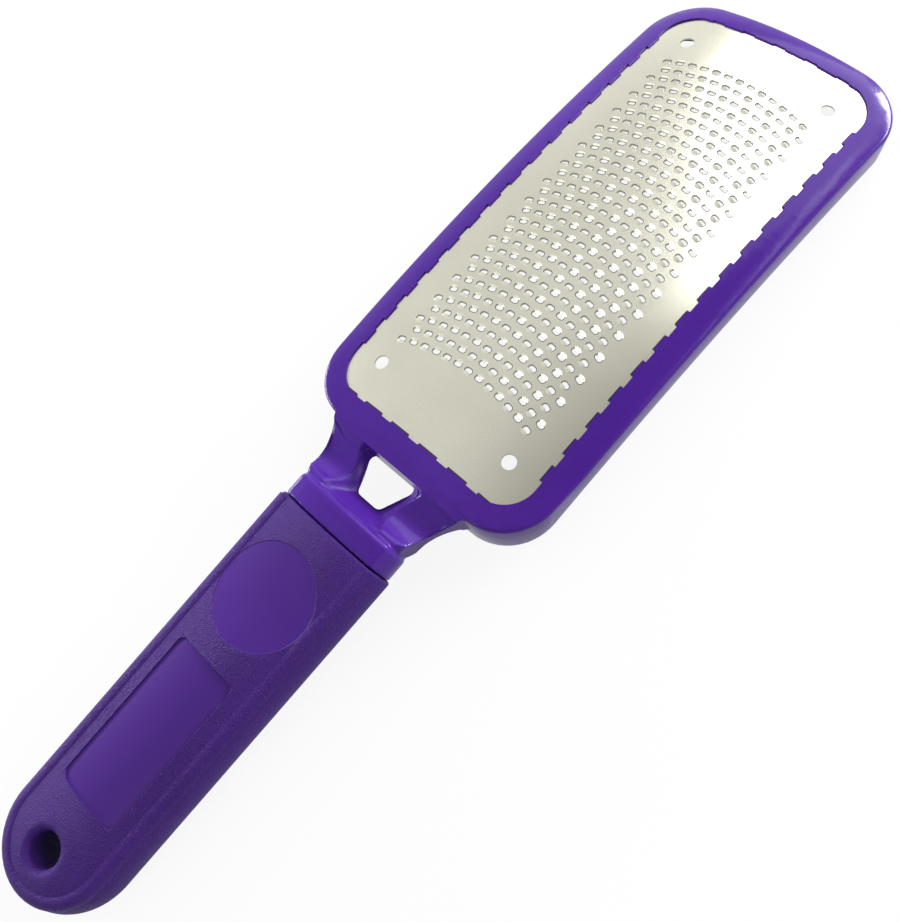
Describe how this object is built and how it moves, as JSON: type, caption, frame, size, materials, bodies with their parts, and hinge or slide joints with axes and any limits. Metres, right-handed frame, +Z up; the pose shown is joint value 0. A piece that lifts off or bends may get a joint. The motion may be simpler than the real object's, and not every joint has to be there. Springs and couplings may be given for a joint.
{
  "type": "foot file",
  "caption": "Long-handled foot file: domed etched steel rasp plate moulded into a glossy plastic head, open two-legged neck, drooping grained grip with thumb dimple and hang hole.",
  "frame": {"origin": "Middle of the bounding box, on the level surface that the file lies on with its working face up.", "axes": "+X from the grip to the tip of the head, +Y to the left, +Z up out of the working face."},
  "size_m": [0.2636, 0.067, 0.0222],
  "materials": {
    "etched_steel": "satin, etched",
    "glossy_purple": "glossy",
    "grained_purple": "fine matte grain"
  },
  "bodies": {
    "root": {"rasp_plate": "etched_steel", "head_frame": "glossy_purple", "grip": "grained_purple"}
  },
  "joints": []
}
